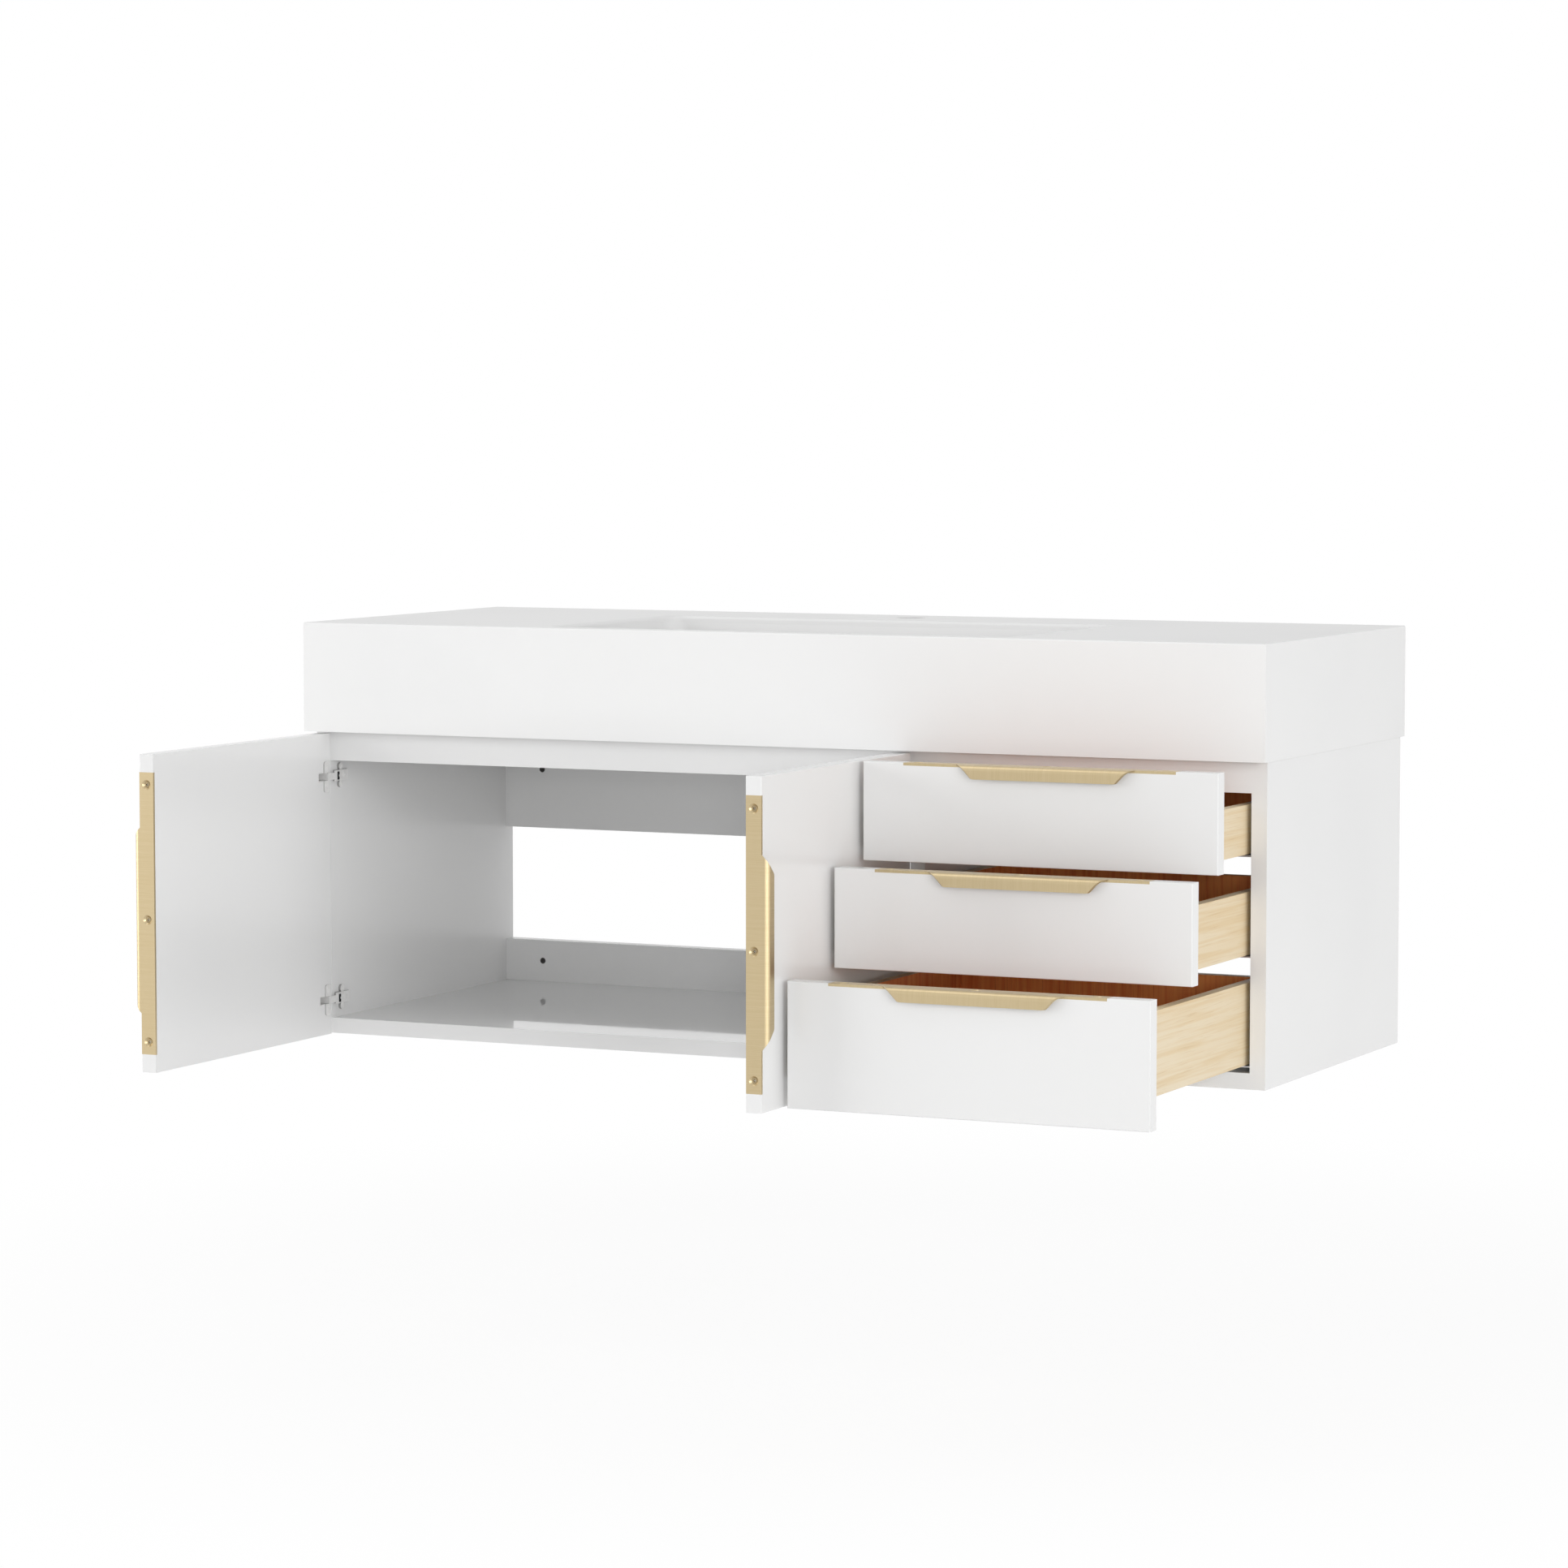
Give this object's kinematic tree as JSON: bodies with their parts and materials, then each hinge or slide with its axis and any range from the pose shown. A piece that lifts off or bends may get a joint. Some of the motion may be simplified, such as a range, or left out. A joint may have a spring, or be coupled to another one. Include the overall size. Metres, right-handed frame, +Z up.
{
  "type": "vanity unit",
  "caption": "Wall-hung bathroom vanity with a box-shaped sink top, hinged doors with concealed cup hinges, and drawers on undermount slides, all with bent edge pulls.",
  "frame": {"origin": "centre of the four wall fixings, on the wall plane", "axes": "+X to the right seen from the front, +Y into the wall, +Z up; doors open at right angles and drawers pulled out at rest"},
  "size_m": [1.2, 0.8459, 0.4875],
  "materials": {
    "white_ceramic": "gloss",
    "white_lacquer": "gloss lacquer",
    "champagne_aluminium": "satin anodised",
    "birch_board": "clear lacquer",
    "nickel_steel": "nickel plated",
    "zinc_steel": "zinc plated"
  },
  "bodies": {
    "cabinet": {"sink_top": "white_ceramic", "left_side_panel": "white_lacquer", "right_side_panel": "white_lacquer", "partition_panel": "white_lacquer", "bottom_panel": "white_lacquer", "front_top_rail": "white_lacquer", "upper_back_rail": "white_lacquer", "lower_back_rail": "white_lacquer", "left_hinge_arms": "nickel_steel", "left_hinge_plates": "nickel_steel", "right_hinge_arms": "nickel_steel", "right_hinge_plates": "nickel_steel", "top_drawer_slide_carcass_rails": "zinc_steel", "middle_drawer_slide_carcass_rails": "zinc_steel", "bottom_drawer_slide_carcass_rails": "zinc_steel"},
    "left_door": {"left_door_panel": "white_lacquer", "left_door_handle": "champagne_aluminium", "left_hinge_cups": "nickel_steel", "left_hinge_pins": "nickel_steel"},
    "right_door": {"right_door_panel": "white_lacquer", "right_door_handle": "champagne_aluminium", "right_hinge_cups": "nickel_steel", "right_hinge_pins": "nickel_steel"},
    "top_drawer": {"top_drawer_front": "white_lacquer", "top_drawer_handle": "champagne_aluminium", "top_drawer_box_front": "birch_board", "top_drawer_left_side": "birch_board", "top_drawer_right_side": "birch_board", "top_drawer_back": "birch_board", "top_drawer_bottom": "birch_board", "top_drawer_slide_drawer_rails": "zinc_steel"},
    "top_drawer_middle_rails": {"top_drawer_slide_middle_rails": "zinc_steel"},
    "middle_drawer": {"middle_drawer_front": "white_lacquer", "middle_drawer_handle": "champagne_aluminium", "middle_drawer_box_front": "birch_board", "middle_drawer_left_side": "birch_board", "middle_drawer_right_side": "birch_board", "middle_drawer_back": "birch_board", "middle_drawer_bottom": "birch_board", "middle_drawer_slide_drawer_rails": "zinc_steel"},
    "middle_drawer_middle_rails": {"middle_drawer_slide_middle_rails": "zinc_steel"},
    "bottom_drawer": {"bottom_drawer_front": "white_lacquer", "bottom_drawer_handle": "champagne_aluminium", "bottom_drawer_box_front": "birch_board", "bottom_drawer_left_side": "birch_board", "bottom_drawer_right_side": "birch_board", "bottom_drawer_back": "birch_board", "bottom_drawer_bottom": "birch_board", "bottom_drawer_slide_drawer_rails": "zinc_steel"},
    "bottom_drawer_middle_rails": {"bottom_drawer_slide_middle_rails": "zinc_steel"}
  },
  "joints": [
    {"name": "left_door_hinge", "type": "hinge", "parent": "cabinet", "child": "left_door", "pos_m": [-0.5868, -0.4681, 0], "axis": [0, 0, 1], "range_deg": [0, 90]},
    {"name": "right_door_hinge", "type": "hinge", "parent": "cabinet", "child": "right_door", "pos_m": [0.1718, -0.4681, 0], "axis": [0, 0, 1], "range_deg": [-90, 0]},
    {"name": "top_drawer_slide", "type": "slide", "parent": "cabinet", "child": "top_drawer", "axis": [0, -1, 0], "range_m": [-0.131, 0.219]},
    {"name": "top_drawer_middle_slide", "type": "slide", "parent": "cabinet", "child": "top_drawer_middle_rails", "axis": [0, -1, 0], "range_m": [-0.0655, 0.1095]},
    {"name": "middle_drawer_slide", "type": "slide", "parent": "cabinet", "child": "middle_drawer", "axis": [0, -1, 0], "range_m": [-0.206, 0.144]},
    {"name": "middle_drawer_middle_slide", "type": "slide", "parent": "cabinet", "child": "middle_drawer_middle_rails", "axis": [0, -1, 0], "range_m": [-0.103, 0.072]},
    {"name": "bottom_drawer_slide", "type": "slide", "parent": "cabinet", "child": "bottom_drawer", "axis": [0, -1, 0], "range_m": [-0.325, 0.025]},
    {"name": "bottom_drawer_middle_slide", "type": "slide", "parent": "cabinet", "child": "bottom_drawer_middle_rails", "axis": [0, -1, 0], "range_m": [-0.1625, 0.0125]}
  ],
  "couplings": [
    {"joint": "top_drawer_middle_slide", "follows": "top_drawer_slide", "ratio": 0.5},
    {"joint": "middle_drawer_middle_slide", "follows": "middle_drawer_slide", "ratio": 0.5},
    {"joint": "bottom_drawer_middle_slide", "follows": "bottom_drawer_slide", "ratio": 0.5}
  ]
}
